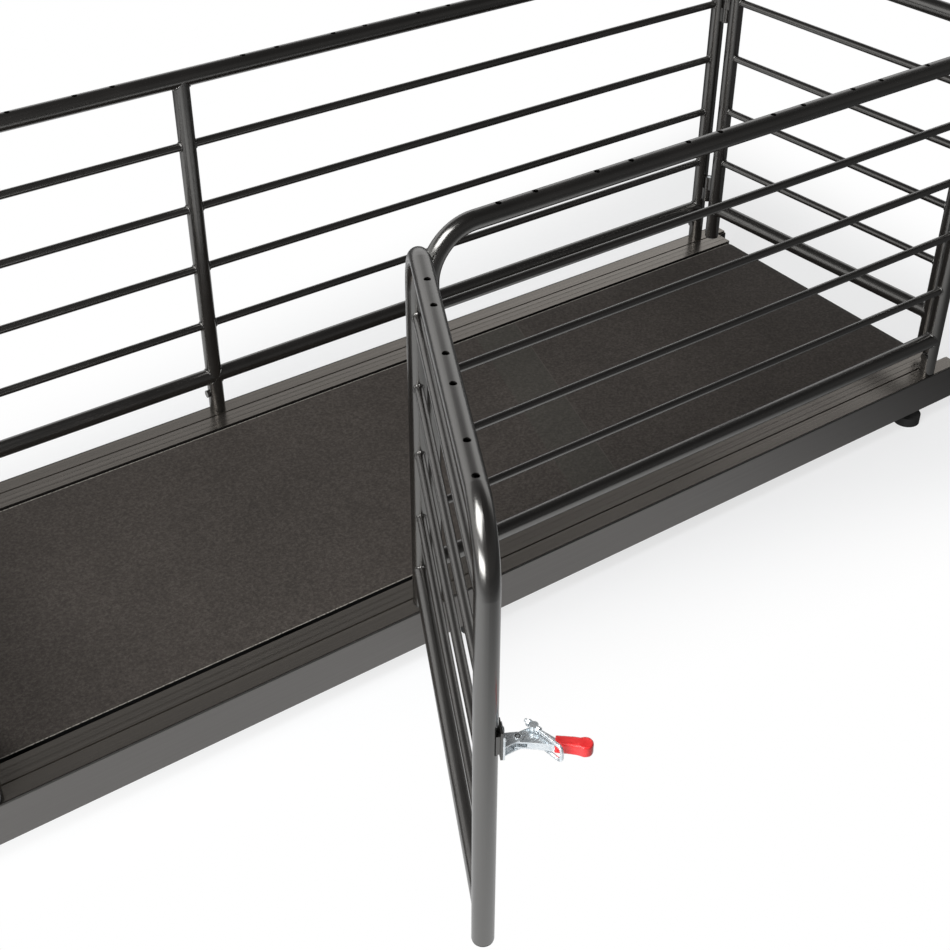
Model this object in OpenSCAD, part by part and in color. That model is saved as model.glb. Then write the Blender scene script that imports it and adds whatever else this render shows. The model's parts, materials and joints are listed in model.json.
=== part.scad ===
// Dog treadmill: a low belt deck inside a welded tube fence with two hinged gates.
// Millimetres, Z up. The origin is on the floor at the centre of the deck.
// X runs along the deck from the motor end (minus) to the open end (plus).

/* [Deck] */
// length of the frame over the side rails
deck_len = 1994; // [1700:1:2400]
// height of the rail tops and of the belt above the floor
rail_top = 90; // [84:1:140]
// width over the two side skirts
deck_w = 611.6; // [560:0.1:700]
// height of the skirt plates
skirt_h = 62.4; // [50:0.1:80]
// thickness of the skirt plates
skirt_t = 2; // [1.5:0.1:4]
// thickness of the extruded rail tops
rail_t = 4; // [3:0.5:6]
// width of the extruded rail tops
rail_w = 60.6; // [50:0.1:80]
// width of the long slot in each rail top
slot_w = 3; // [2:0.1:5]
// gap between the running belt and each rail
belt_gap = 7; // [4:0.5:20]
// thickness of the running belt
belt_t = 2; // [1.5:0.1:4]
// thickness of the deck board under the belt
board_t = 18; // [12:1:20]
// diameter of the two belt rollers
roller_d = 50; // [40:1:56]

/* [Fence] */
// diameter of the fence frame tube
tube_d = 25; // [20:0.5:28]
// wall of the fence frame tube
tube_wall = 2; // [1.5:0.1:2.2]
// diameter of the thin bars
bar_d = 12; // [8:0.5:16]
// distance of the fence planes on the long sides from the skirt faces
fence_inset = 15; // [13:0.1:20]
// height of the lower frame tube above the rails
low_z = 66; // [50:1:80]
// height of the first thin bar above the rails
bar_z = 160; // [120:1:200]
// pitch of the thin bars and of the top tube
bar_pitch = 100; // [70:1:110]
// centre line radius of the tube bends
bend_r = 65; // [45:1:80]
// diameter of the holes through the top tubes
hole_d = 8; // [4:0.5:10]
// distance between the two holes of a pair
hole_gap = 55; // [30:1:60]
// pitch of the hole pairs
pair_pitch = 150; // [130:1:170]
// distance between the axes of neighbouring posts
post_pitch = 42.6; // [40:0.1:50]

/* [Gates] */
// distance of the front fence from the motor hood
front_gap = 17.6; // [15:0.1:40]
// distance between the posts of the side gate
gate_len = 546.5; // [480:0.5:600]
// height of the gates above the fixed fences
gate_raise = 15; // [10:1:20]
// gap between the gate posts and the rails
gate_gap = 23; // [15:1:30]
// angle at which the side gate stands open
gate_open = 63.15; // [40:0.05:90]
// angle at which the end gate stands ajar
end_open = 4.25; // [3:0.05:10]
// height of each hinge block
hinge_h = 48; // [30:1:60]
// height of the latch clamps above the rails
latch_z = 315; // [296:1:340]

/* [Motor end] */
// length of the motor hood
hood_len = 278; // [260:1:340]
// height of the motor hood above the rails
hood_rise = 68; // [60:1:90]
// diameter of the motor body
motor_d = 88; // [60:1:92]

/* [Hidden] */
$fn = 64;
// Clearances: weld_gap at welded saddles, run_gap at bearings, slip_gap at sleeves and belts
weld_gap = 0.05;
run_gap = 0.05;
slip_gap = 0.3;
half_len = deck_len / 2;
half_w = deck_w / 2;
half_span = half_w - fence_inset;
fence_span = 2 * half_span;
tube_r = tube_d / 2;
saddle_r = tube_r + weld_gap;
bore_d = tube_d - 2 * tube_wall;
top_z = bar_z + 4 * bar_pitch;
half_post = post_pitch / 2;
// Skirt and rail section, measured from the centre plane
skirt_in = half_w - skirt_t;
rail_seam = 1.2;
skirt_edge = 1.4;
rail_out = skirt_in - rail_seam;
rail_in = rail_out - rail_w;
rail_lip = 10;
rail_notch = 20;
slot_gap = 2.1;
slot_depth = 2.5;
slot_y = half_span - tube_r - slot_gap;
groove_pitch = 11.3;
groove_w = 0.8;
groove_depth = 0.4;
skirt_z = rail_top - skirt_h;
// Frame tubes under the rails
beam_w = 30;
beam_h = 40;
beam_wall = 2.5;
beam_y = skirt_in - beam_w / 2;
beam_in = skirt_in - beam_w;
beam_top = rail_top - rail_t;
beam_z = beam_top - beam_h;
// Belt and rollers
belt_w = 2 * (rail_in - belt_gap);
board_z = rail_top - belt_t - board_t;
roller_z = rail_top - belt_t - roller_d / 2;
loop_r = roller_d / 2 + belt_t;
rear_x = half_len - loop_r - 9;
hood_x = -half_len + hood_len;
drive_x = hood_x - loop_r - 17;
roller_half = belt_w / 2 + 2;
axle_d = 15;
bearing_d = 35;
bearing_w = 11;
// Fence stations along the deck, from the motor end
end_inset = 65;
mid_offset = 7.8;
front_x = hood_x + front_gap;
left_x = front_x + post_pitch;
hinge_x = left_x + gate_len + half_post;
near_x = hinge_x + half_post;
end_x = half_len - end_inset;
near_len = end_x - near_x;
mid_x = hinge_x - mid_offset;
back_len = end_x - left_x;
end_len = fence_span - 2 * post_pitch;
end_hinge_y = half_span - half_post;
// Distance of the first pair of holes from the post, on the fixed fences and on the side gate
fence_first = 128;
gate_first = 147;
// Hinges: a barrel between two posts, and the heights of its two places above the rails
barrel_d = post_pitch - tube_d - 4;
pin_d = barrel_d - 5.6;
hinge_low = low_z + 22;
hinge_high = top_z - bend_r - 15 - hinge_h;
hinge_zs = [hinge_low, hinge_high];
knuckle_gap = 0.4;
// Motor end
hood_top = rail_top + hood_rise;
hood_wall = 3;
pulley_r = 32;
motor_pulley_r = 18;
rib_d = 3;
drive_w = 16;
drive_y = -roller_half - drive_w / 2 - 3;
motor_x = -half_len + 112;
motor_z = beam_z + motor_d / 2 + 2;
motor_y = drive_y + drive_w / 2 + 86;
motor_len = 150;
shaft_d = 12;
tray_t = 3;
// Leg sockets
socket_h = 60;
bolt_z = rail_top + 35;
bolt_d = 6;
leg_places = [[near_x, -half_span], [end_x, -half_span], [left_x, half_span],
    [mid_x, half_span], [end_x, half_span], [front_x, -half_span], [front_x, half_span]];
foot_inset = 90;
pad_d = 44;
pad_h = 16;
pad_floor = 6;
stem_d = 10;
stem_gap = 0.4;
nut_d = 18;
nut_h = 7;
foot_end = half_len - foot_inset;
foot_places = [[-foot_end, beam_y], [0, beam_y], [foot_end, beam_y],
    [-foot_end, -beam_y], [0, -beam_y], [foot_end, -beam_y]];
// Cross members, evenly spaced under the deck board
cross_w = 40;
cross_wall = 2.5;
cross_first = hood_x + 76;
cross_last = rear_x - 68;
cross_gaps = 4;
cross_places = [for (i = [0:cross_gaps]) cross_first + i * (cross_last - cross_first) / cross_gaps];
// Latch clamp, in its own frame: x to the neighbouring post, y outwards from the gate
pivot_x = -4.6;
pivot_y = tube_r + 19.5;
lever_a = 15;
trunnion_a = -24;
trunnion_r = 18.8;
lever_len = 73.5;
grip_len = 37.5;
tang_end = lever_len - 18;
tang_half = 4;
tang_gap = 0.2;
trunnion_d = 6;
ubolt_a = 56;
ubolt_len = 38.6;
ubolt_tail = 12;
ubolt_d = 4;
plate_y = tube_r + 3;
plate_t = 2;
plate_half = 11;
bracket_t = 2.5;
bracket_low = -8;
bracket_high = 28;
saddle_half = 9;
saddle_inset = 6;
base_low = -8;
base_high = 22;
stud_x = 6;
stud_z = 16;
stud_d = 6;
stud_t = 1.4;
lever_z = 3.6;
lever_t = 2;
lever_half = lever_z + lever_t / 2;
ear_z = lever_half + slip_gap;
ear_t = 1.2;
head_t = 0.6;
head_d = 8.6;
rivet_d = 5;
ubolt_half = ear_z + ear_t + head_t + slip_gap + ubolt_d / 2;
trunnion_x = pivot_x + trunnion_r * sin(trunnion_a);
trunnion_y = pivot_y + trunnion_r * cos(trunnion_a);
// The closed latch: how far the lever turns and where the bow then lies
lever_turn = 105;
closed_x = pivot_x + trunnion_r * sin(trunnion_a - lever_turn);
closed_y = pivot_y + trunnion_r * cos(trunnion_a - lever_turn);
bow_x = closed_x + ubolt_len;
// Control keys on the hood
panel_x = -half_len + 160;
panel_l = 80;
panel_w = 240;
panel_t = 4;
key_d = 18;
key_rise = 2.5;
key_ys = [-80, 40, 80];
window_l = 32;
window_w = 64;
window_t = 1.2;
window_y = -16;
window_z = hood_top + panel_t - 1.5;
switch_inset = 73.8;
switch_y = switch_inset - beam_in;
inlet_rise = 42;
inlet_z = skirt_z + inlet_rise;
// the rocker lies to one side by this angle
rocker_tilt = 8;

// Straight rods along the three axes
module rod_x(x0, x1, y, z, d) {
    translate([x0, y, z]) rotate([0, 90, 0]) cylinder(d = d, h = x1 - x0);
}

module rod_y(x, y0, y1, z, d) {
    translate([x, y0, z]) rotate([-90, 0, 0]) cylinder(d = d, h = y1 - y0);
}

module rod_z(x, y, z0, z1, d) {
    translate([x, y, z0]) cylinder(d = d, h = z1 - z0);
}

// A block given by its two corners
module block(a, b) {
    translate(a) cube([b[0] - a[0], b[1] - a[1], b[2] - a[2]]);
}

// Both sides of the deck
module both_sides() {
    children();
    mirror([0, 1, 0]) children();
}

// The path of a bent frame tube: two legs, two bends and the top, at diameter d
module bent_path(len, z0, z1, d) {
    rod_z(0, 0, z0, z1 - bend_r, d);
    rod_z(len, 0, z0, z1 - bend_r, d);
    rod_x(bend_r, len - bend_r, 0, z1, d);
    translate([bend_r, 0, z1 - bend_r]) rotate([90, 0, 0]) rotate([0, 0, 90])
        rotate_extrude(angle = 90) translate([bend_r, 0]) circle(d = d);
    translate([len - bend_r, 0, z1 - bend_r]) rotate([90, 0, 0])
        rotate_extrude(angle = 90) translate([bend_r, 0]) circle(d = d);
}

// Places of the hole pairs from x = first, as many as the straight of a tube of length len takes
function pairs_from(first, len) =
    [for (x = first; x <= len - bend_r - hole_gap / 2; x = x + pair_pitch) x];

// Places of the hole pairs on both sides of the middle of a tube of length len
function pairs_about_middle(len) =
    pairs_from(len / 2 - pair_pitch * floor((len / 2 - bend_r - hole_gap / 2) / pair_pitch), len);

// A hollow bent frame tube with a pair of holes through its top at each of the places
module bent_tube(len, z0, z1, places) {
    difference() {
        bent_path(len, z0, z1, tube_d);
        bent_path(len, z0 - 1, z1, bore_d);
        for (x = places)
            for (s = [-1, 1])
                rod_z(x + s * hole_gap / 2, 0, z1 - tube_d, z1 + tube_d, hole_d);
    }
}

// Four thin bars and the lower tube between two posts at x = 0 and x = len
module bars(len, z0) {
    difference() {
        union() {
            rod_x(0, len, 0, z0 + low_z, tube_d);
            for (i = [0:3]) rod_x(0, len, 0, z0 + bar_z + i * bar_pitch, bar_d);
        }
        rod_z(0, 0, z0, z0 + top_z, 2 * saddle_r);
        rod_z(len, 0, z0, z0 + top_z, 2 * saddle_r);
    }
}

// Frames of reference: on the near or back side, and on each gate about its hinge
module near_side() {
    translate([near_x, -half_span, 0]) children();
}

module side_gate_place(open) {
    translate([hinge_x, -half_span, 0]) rotate([0, 0, 180 + open]) children();
}

module end_gate_place(open) {
    translate([end_x, end_hinge_y, 0]) rotate([0, 0, -90 + open]) children();
}

// One extruded rail top with its slot, two fine grooves, inner lip and the socket holes of
// the legs on its side of the deck, near (-1) or back (1)
module rail_section(side) {
    difference() {
        union() {
            block([hood_x, rail_in, beam_top], [half_len, rail_out, rail_top]);
            block([hood_x, rail_in, beam_top - rail_lip], [half_len, rail_in + 2, beam_top]);
        }
        block([hood_x - 1, slot_y - slot_w / 2, rail_top - slot_depth],
            [half_len + 1, slot_y + slot_w / 2, rail_top + 1]);
        for (y = [rail_in + groove_pitch, rail_in + 2 * groove_pitch])
            block([hood_x - 1, y - groove_w / 2, rail_top - groove_depth],
                [half_len + 1, y + groove_w / 2, rail_top + 1]);
        block([half_len - rail_notch, rail_in - 1, beam_top - rail_lip - 1],
            [half_len + 1, slot_y - slot_w / 2, rail_top + 1]);
        for (p = leg_places)
            if (p[1] * side > 0)
                rod_z(p[0], half_span, beam_top - 1, rail_top + 1, bore_d);
    }
}

module side_rail_near() {
    color("DimGray") mirror([0, 1, 0]) rail_section(-1);
}

module side_rail_back() {
    color("DimGray") rail_section(1);
}

module side_skirts() {
    color("Gray") both_sides()
        translate([hood_x, 0, 0]) rotate([90, 0, 90]) linear_extrude(height = half_len - hood_x)
            polygon([[skirt_in, skirt_z], [half_w, skirt_z], [half_w, rail_top - skirt_edge],
                [half_w - skirt_edge, rail_top], [skirt_in, rail_top]]);
}

module frame_beams() {
    color("DarkSlateGray") both_sides() difference() {
        block([-half_len + hood_wall, beam_in, beam_z], [half_len - 4, skirt_in, beam_top]);
        block([-half_len, beam_in + beam_wall, beam_z + beam_wall],
            [half_len, skirt_in - beam_wall, beam_top - beam_wall]);
        rod_y(rear_x, beam_in - 1, skirt_in - beam_wall - 1, roller_z, axle_d + 0.4);
        rod_y(drive_x, beam_in - 1, skirt_in - beam_wall - 1, roller_z, axle_d + 0.4);
        for (p = foot_places) rod_z(p[0], beam_y, beam_z - 1, beam_z + beam_wall + 1, stem_d + stem_gap);
    }
}

module cross_members() {
    color("DarkSlateGray") for (x = cross_places) difference() {
        block([x - cross_w / 2, -beam_in, beam_z], [x + cross_w / 2, beam_in, board_z]);
        block([x - cross_w / 2 + cross_wall, -beam_in - 1, beam_z + cross_wall],
            [x + cross_w / 2 - cross_wall, beam_in + 1, board_z - cross_wall]);
    }
}

module rail_end_caps() {
    color("Black") both_sides() difference() {
        block([half_len - 4, beam_in, skirt_z + 2], [half_len, skirt_in, beam_top]);
        rod_x(half_len - 5, half_len + 1, beam_y, roller_z, 8.8);
    }
}

module deck_board() {
    color("SaddleBrown")
        block([drive_x + loop_r + 2, -belt_w / 2 + 3, board_z],
            [rear_x - loop_r - 6, belt_w / 2 - 3, rail_top - belt_t]);
}

// The outline of a loop of radius r round both rollers
module belt_outline(r) {
    translate([drive_x, roller_z]) circle(r = r);
    translate([rear_x, roller_z]) circle(r = r);
    translate([drive_x, roller_z - r]) square([rear_x - drive_x, 2 * r]);
}

module running_belt() {
    color("DimGray") translate([0, belt_w / 2, 0]) rotate([90, 0, 0])
        linear_extrude(height = belt_w) difference() {
            belt_outline(loop_r);
            belt_outline(loop_r - belt_t + run_gap);
        }
}

// A roller at x with a bearing seat in each end
module belt_roller(x) {
    difference() {
        rod_y(x, -roller_half, roller_half, roller_z, roller_d);
        rod_y(x, -roller_half - 1, roller_half + 1, roller_z, axle_d + 4);
        rod_y(x, -roller_half - 1, -roller_half + bearing_w, roller_z, bearing_d + 2 * run_gap);
        rod_y(x, roller_half - bearing_w, roller_half + 1, roller_z, bearing_d + 2 * run_gap);
    }
}

module drive_roller() {
    color("Silver") belt_roller(drive_x);
}

module idler_roller() {
    color("Silver") belt_roller(rear_x);
}

module roller_axles() {
    color("Gray") for (x = [drive_x, rear_x]) difference() {
        rod_y(x, -skirt_in + beam_wall + 1.2, skirt_in - beam_wall - 1.2, roller_z, axle_d);
        if (x == rear_x)
            for (y = [-beam_y, beam_y]) rod_x(x - axle_d, x + axle_d, y, roller_z, 8.2);
    }
}

module roller_bearings() {
    color("Silver") for (x = [drive_x, rear_x]) both_sides() difference() {
        rod_y(x, roller_half - bearing_w + 0.2, roller_half - 0.2, roller_z, bearing_d);
        rod_y(x, roller_half - bearing_w, roller_half, roller_z, axle_d + 2 * run_gap);
    }
}

module tension_bolts() {
    color("Silver") both_sides() {
        rod_x(rear_x - 14, half_len, beam_y, roller_z, 8);
        translate([half_len, beam_y, roller_z]) rotate([0, 90, 0]) cylinder(d = 14, h = 5, $fn = 6);
    }
}

// A ribbed pulley of radius r centred on the drive belt plane at x, z
module ribbed_pulley(x, z, r) {
    translate([x, drive_y, z]) rotate([-90, 0, 0]) rotate_extrude()
        polygon([[0, -drive_w / 2 - 2], [r + 4, -drive_w / 2 - 2], [r + 4, -drive_w / 2 - 0.5],
            [r, -drive_w / 2 - 0.5], [r, drive_w / 2 + 0.5], [r + 4, drive_w / 2 + 0.5],
            [r + 4, drive_w / 2 + 2], [0, drive_w / 2 + 2]]);
}

module roller_pulley() {
    color("Gray") difference() {
        union() {
            ribbed_pulley(drive_x, roller_z, pulley_r);
            rod_y(drive_x, drive_y, -roller_half, roller_z, 30);
        }
        rod_y(drive_x, drive_y - drive_w, -roller_half + 1, roller_z, axle_d + 4);
    }
}

// The outline of the drive belt with its inner face grown by g
module drive_outline(g) {
    dx = drive_x - motor_x;
    dz = roller_z - motor_z;
    lean = atan2(dz, dx);
    ra = motor_pulley_r + g;
    rb = pulley_r + g;
    a = acos((ra - rb) / sqrt(dx * dx + dz * dz));
    n = 24;
    polygon(concat(
        [for (i = [0:n]) let (t = lean + a + i * (360 - 2 * a) / n)
            [motor_x + ra * cos(t), motor_z + ra * sin(t)]],
        [for (i = [0:n]) let (t = lean - a + i * 2 * a / n)
            [drive_x + rb * cos(t), roller_z + rb * sin(t)]]));
}

module drive_belt() {
    color("Black") translate([0, drive_y + drive_w / 2, 0]) rotate([90, 0, 0])
        linear_extrude(height = drive_w) difference() {
            drive_outline(rib_d);
            drive_outline(slip_gap);
        }
}

module motor_pulley() {
    color("Silver") {
        ribbed_pulley(motor_x, motor_z, motor_pulley_r);
        rod_y(motor_x, drive_y, motor_y + 30, motor_z, shaft_d);
        rod_y(motor_x, drive_y + drive_w / 2 + 12, drive_y + drive_w / 2 + 42, motor_z, motor_d - 10);
    }
}

module motor_body() {
    color("DarkSlateGray") difference() {
        union() {
            rod_y(motor_x, motor_y, motor_y + motor_len, motor_z, motor_d);
            block([motor_x - 24, motor_y + 20, beam_z], [motor_x + 24, motor_y + motor_len - 20, motor_z]);
        }
        rod_y(motor_x, motor_y - 1, motor_y + 32, motor_z, shaft_d + 2 * run_gap);
    }
}

module motor_tray() {
    color("DimGray") difference() {
        block([-half_len + 12, -beam_in - 4, beam_z - tray_t],
            [drive_x - loop_r - 10, beam_in + 4, beam_z]);
        block([motor_x + 20, -beam_in - 5, beam_z - tray_t - 1],
            [drive_x, drive_y + drive_w / 2 + 6, beam_z + 1]);
    }
}

module controller_box() {
    color("Silver") {
        block([motor_x - 50, beam_in - 160, beam_z], [motor_x + 60, beam_in - 20, beam_z + 34]);
        for (i = [0:6])
            block([motor_x - 50 + i * 17, beam_in - 160, beam_z + 34],
                [motor_x - 44 + i * 17, beam_in - 20, beam_z + 48]);
    }
}

// Side outline of the hood, drawn inwards by t from the outer faces
module hood_outline(t) {
    polygon([[hood_x - t, skirt_z - (t > 0 ? 1 : 0)], [hood_x - t, hood_top - 40 - t / 2],
        [hood_x - 30 - t / 2, hood_top - t], [-half_len + 67 + t / 3, hood_top - t],
        [-half_len + t, hood_top - 46 - t / 2], [-half_len + t, skirt_z - (t > 0 ? 1 : 0)]]);
}

module motor_hood() {
    color("Black") difference() {
        translate([0, half_w, 0]) rotate([90, 0, 0]) linear_extrude(height = deck_w) hood_outline(0);
        translate([0, skirt_in, 0]) rotate([90, 0, 0]) linear_extrude(height = 2 * skirt_in)
            hood_outline(hood_wall);
        block([hood_x - 2 * hood_wall, -skirt_in, skirt_z - 1], [hood_x + 1, skirt_in, rail_top + 4]);
        block([panel_x - panel_l / 2 + 8, -panel_w / 2 + 10, hood_top - 10],
            [panel_x + panel_l / 2 - 8, panel_w / 2 - 10, hood_top + 1]);
        block([-half_len - 1, switch_y - 28, inlet_z - 12], [-half_len + 5, switch_y + 28, inlet_z + 12]);
    }
}

module control_panel() {
    color("DimGray") difference() {
        block([panel_x - panel_l / 2, -panel_w / 2, hood_top],
            [panel_x + panel_l / 2, panel_w / 2, hood_top + panel_t]);
        for (y = key_ys) rod_z(panel_x, y, hood_top - 1, hood_top + panel_t + 1, key_d + 2 * slip_gap);
        block([panel_x - window_l / 2, window_y - window_w / 2, window_z],
            [panel_x + window_l / 2, window_y + window_w / 2, hood_top + panel_t + 1]);
    }
}

module display_window() {
    color("Black") block([panel_x - window_l / 2 + 0.2, window_y - window_w / 2 + 0.2, window_z],
        [panel_x + window_l / 2 - 0.2, window_y + window_w / 2 - 0.2, window_z + window_t]);
}

// A push key in its hole in the control panel
module push_key(y) {
    rod_z(panel_x, y, hood_top - 4, hood_top + panel_t + key_rise, key_d);
}

module key_start() {
    color("Red") push_key(key_ys[0]);
}

module key_plus() {
    color("Silver") push_key(key_ys[2]);
}

module key_minus() {
    color("Silver") push_key(key_ys[1]);
}

module power_inlet() {
    color("Black") difference() {
        union() {
            block([-half_len - 2, switch_y - 32, inlet_z - 16], [-half_len, switch_y + 32, inlet_z + 16]);
            block([-half_len, switch_y - 27.5, inlet_z - 11.5],
                [-half_len + 26, switch_y + 27.5, inlet_z + 11.5]);
        }
        block([-half_len - 3, switch_y - 25, inlet_z - 8], [-half_len + 16, switch_y - 1, inlet_z + 8]);
        block([-half_len - 3, switch_y + 8, inlet_z - 11], [-half_len + 16, switch_y + 24, inlet_z + 11]);
        for (y = [-7, 0, 7])
            block([-half_len + 15, switch_y - 13 + y - 1, inlet_z - 2],
                [-half_len + 20, switch_y - 13 + y + 1, inlet_z + 2]);
        rod_y(-half_len + 3, switch_y + 5.5, switch_y + 26.5, inlet_z, 3 + 2 * run_gap);
    }
}

module power_rocker() {
    color("Red") translate([-half_len + 3, switch_y + 16, inlet_z]) {
        rotate([0, rocker_tilt, 0]) rotate([90, 0, 0]) linear_extrude(height = 14, center = true)
            polygon([[-6.5, -8.5], [-5, 0], [-6.5, 8.5], [4, 8.5], [8, 3], [8, -3], [4, -8.5]]);
        rod_y(0, -10, 10, 0, 3);
    }
}

module foot_pads() {
    color("Black") for (p = foot_places) difference() {
        rod_z(p[0], p[1], 0, pad_h, pad_d);
        rod_z(p[0], p[1], pad_floor, pad_h + 1, stem_d + stem_gap);
    }
}

module foot_stems() {
    color("Silver") for (p = foot_places) {
        rod_z(p[0], p[1], pad_floor, beam_z + 10, stem_d);
        translate([p[0], p[1], beam_z - nut_h]) cylinder(d = nut_d, h = nut_h, $fn = 6);
    }
}

module leg_sockets() {
    color("Gray") for (p = leg_places) difference() {
        rod_z(p[0], p[1], beam_top, rail_top + socket_h, bore_d - 2 * slip_gap);
        rod_x(p[0] - tube_d, p[0] + tube_d, p[1], bolt_z, bolt_d + 0.4);
    }
}

module leg_bolts() {
    color("Black") for (p = leg_places) {
        rod_x(p[0] - tube_r, p[0] + tube_r - 0.5, p[1], bolt_z, bolt_d);
        rod_x(p[0] - tube_r - 4, p[0] - tube_r + 0.2, p[1], bolt_z, 12);
    }
}

// Cross holes and head seats for the leg bolts
module bolt_holes() {
    for (p = leg_places) {
        rod_x(p[0] - tube_d, p[0] + tube_d, p[1], bolt_z, bolt_d + 0.4);
        rod_x(p[0] - tube_d, p[0] - tube_r + 0.4, p[1], bolt_z, 12.6);
    }
}

module near_fence_frame() {
    color("Black") difference() {
        near_side() bent_tube(near_len, rail_top, rail_top + top_z, pairs_from(fence_first, near_len));
        bolt_holes();
    }
}

module near_fence_bars() {
    color("Black") near_side() bars(near_len, rail_top);
}

// Hole pairs of the back fence, counted from the middle post towards both ends
back_pairs = concat(
    [for (x = pairs_from(fence_first, mid_x - left_x)) mid_x - left_x - x],
    [for (x = pairs_from(fence_first, end_x - mid_x)) mid_x - left_x + x]);

module back_fence_frame() {
    color("Black") difference() {
        translate([left_x, half_span, 0]) bent_tube(back_len, rail_top, rail_top + top_z, back_pairs);
        bolt_holes();
    }
}

module back_fence_post() {
    color("Black") difference() {
        rod_z(mid_x, half_span, rail_top, rail_top + top_z, tube_d);
        rod_z(mid_x, half_span, rail_top - 1, rail_top + top_z - tube_d, bore_d);
        rod_x(left_x + bend_r, end_x - bend_r, half_span, rail_top + top_z, 2 * saddle_r);
        bolt_holes();
    }
}

module back_fence_bars() {
    color("Black") {
        translate([left_x, half_span, 0]) bars(mid_x - left_x, rail_top);
        translate([mid_x, half_span, 0]) bars(end_x - mid_x, rail_top);
    }
}

module front_fence_frame() {
    color("Black") difference() {
        translate([front_x, -half_span, 0]) rotate([0, 0, 90])
            bent_tube(fence_span, rail_top, rail_top + top_z, pairs_about_middle(fence_span));
        bolt_holes();
    }
}

module front_fence_bars() {
    color("Black") translate([front_x, -half_span, 0]) rotate([0, 0, 90]) bars(fence_span, rail_top);
}

module corner_blocks() {
    color("Black") for (z = hinge_zs) difference() {
        block([front_x, half_span - 6, rail_top + z], [left_x, half_span + 6, rail_top + z + hinge_h]);
        rod_z(front_x, half_span, rail_top, rail_top + top_z, 2 * saddle_r);
        rod_z(left_x, half_span, rail_top, rail_top + top_z, 2 * saddle_r);
    }
}

// A gate in its own frame: hinge axis at the origin, posts along x, outside towards y
module gate_frame(len, places) {
    translate([half_post, 0, 0])
        bent_tube(len, rail_top + gate_gap, rail_top + gate_raise + top_z, places);
}

module gate_bars(len) {
    translate([half_post, 0, 0]) bars(len, rail_top + gate_raise);
}

module gate_plugs(len) {
    for (x = [half_post, half_post + len]) {
        rod_z(x, 0, rail_top + gate_gap - 2, rail_top + gate_gap, tube_d - 1);
        rod_z(x, 0, rail_top + gate_gap, rail_top + gate_gap + 14, bore_d - 0.2);
    }
}

// Hinge barrels: the lower half with its neck on the fixed post at x = -half_post,
// the upper half with its neck on the gate post at x = half_post
module knuckle(z0, z1, side) {
    difference() {
        union() {
            rod_z(0, 0, z0, z1, barrel_d);
            block([side < 0 ? -half_post : 0, -5, z0], [side < 0 ? 0 : half_post, 5, z1]);
        }
        rod_z(side * half_post, 0, z0 - 1, z1 + 1, 2 * saddle_r);
        rod_z(0, 0, z0 - 1, z1 + 1, pin_d + 2 * run_gap);
    }
}

module fixed_knuckles() {
    for (z = hinge_zs) knuckle(rail_top + z, rail_top + z + hinge_h / 2 - knuckle_gap / 2, -1);
}

module gate_knuckles() {
    for (z = hinge_zs) knuckle(rail_top + z + hinge_h / 2 + knuckle_gap / 2, rail_top + z + hinge_h, 1);
}

module pins() {
    for (z = hinge_zs) rod_z(0, 0, rail_top + z, rail_top + z + hinge_h - 0.5, pin_d);
}

module hinge_sockets() {
    color("Black") {
        side_gate_place(0) fixed_knuckles();
        end_gate_place(0) fixed_knuckles();
    }
}

module hinge_pins() {
    color("Silver") {
        side_gate_place(0) pins();
        end_gate_place(0) pins();
    }
}

module side_gate_frame() {
    color("Black") side_gate_place(gate_open) gate_frame(gate_len, pairs_from(gate_first, gate_len));
}

module side_gate_bars() {
    color("Black") side_gate_place(gate_open) gate_bars(gate_len);
}

module side_gate_plugs() {
    color("Black") side_gate_place(gate_open) gate_plugs(gate_len);
}

module side_gate_knuckles() {
    color("Black") side_gate_place(gate_open) gate_knuckles();
}

module end_gate_frame() {
    color("Black") end_gate_place(end_open) gate_frame(end_len, pairs_about_middle(end_len));
}

module end_gate_bars() {
    color("Black") end_gate_place(end_open) gate_bars(end_len);
}

module end_gate_plugs() {
    color("Black") end_gate_place(end_open) gate_plugs(end_len);
}

module end_gate_knuckles() {
    color("Black") end_gate_place(end_open) gate_knuckles();
}

// Moves a latch from its own frame to the free post of a gate of length len
module latch_place(len) {
    translate([half_post + len, 0, rail_top + latch_z]) children();
}

// The bracket that carries the clamp: a saddle welded to the gate post and a plate on it
module latch_bracket(len) {
    latch_place(len) difference() {
        union() {
            block([-saddle_half, 5, bracket_low + saddle_inset],
                [saddle_half, plate_y - bracket_t, bracket_high - saddle_inset]);
            block([-plate_half, plate_y - bracket_t, bracket_low], [plate_half, plate_y, bracket_high]);
        }
        rod_z(0, 0, bracket_low - 1, bracket_high + 1, 2 * saddle_r);
    }
}

// One ear of the pressed base, round at the pivot
module ear_outline() {
    translate([pivot_x, pivot_y]) circle(r = 6);
    polygon([[-plate_half, plate_y], [plate_half - 2, plate_y], [pivot_x + 6, pivot_y],
        [pivot_x - 6, pivot_y]]);
}

// The pressed base: a plate with two studs on the bracket, two ears and the pivot rivet
module latch_base(len) {
    latch_place(len) {
        difference() {
            union() {
                block([-plate_half, plate_y, base_low], [plate_half, plate_y + plate_t, base_high]);
                for (s = [-1, 1])
                    rod_y(s * stud_x, plate_y + plate_t - 0.5, plate_y + plate_t + stud_t, stud_z, stud_d);
                for (s = [-1, 1])
                    translate([0, 0, s * (ear_z + ear_t / 2)])
                        linear_extrude(height = ear_t, center = true) ear_outline();
            }
            rod_z(pivot_x, pivot_y, -10, 10, rivet_d + 2 * run_gap);
        }
        rod_z(pivot_x, pivot_y, -ear_z - ear_t, ear_z + ear_t, rivet_d);
        for (s = [-1, 1])
            translate([pivot_x, pivot_y, s * (ear_z + ear_t + head_t / 2)])
                cylinder(d = head_d, h = head_t, center = true);
    }
}

// Turns the lever's own frame, x along the lever from the pivot, to the open position
module lever_place(len) {
    latch_place(len) translate([pivot_x, pivot_y, 0]) rotate([0, 0, 90 - lever_a]) children();
}

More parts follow.
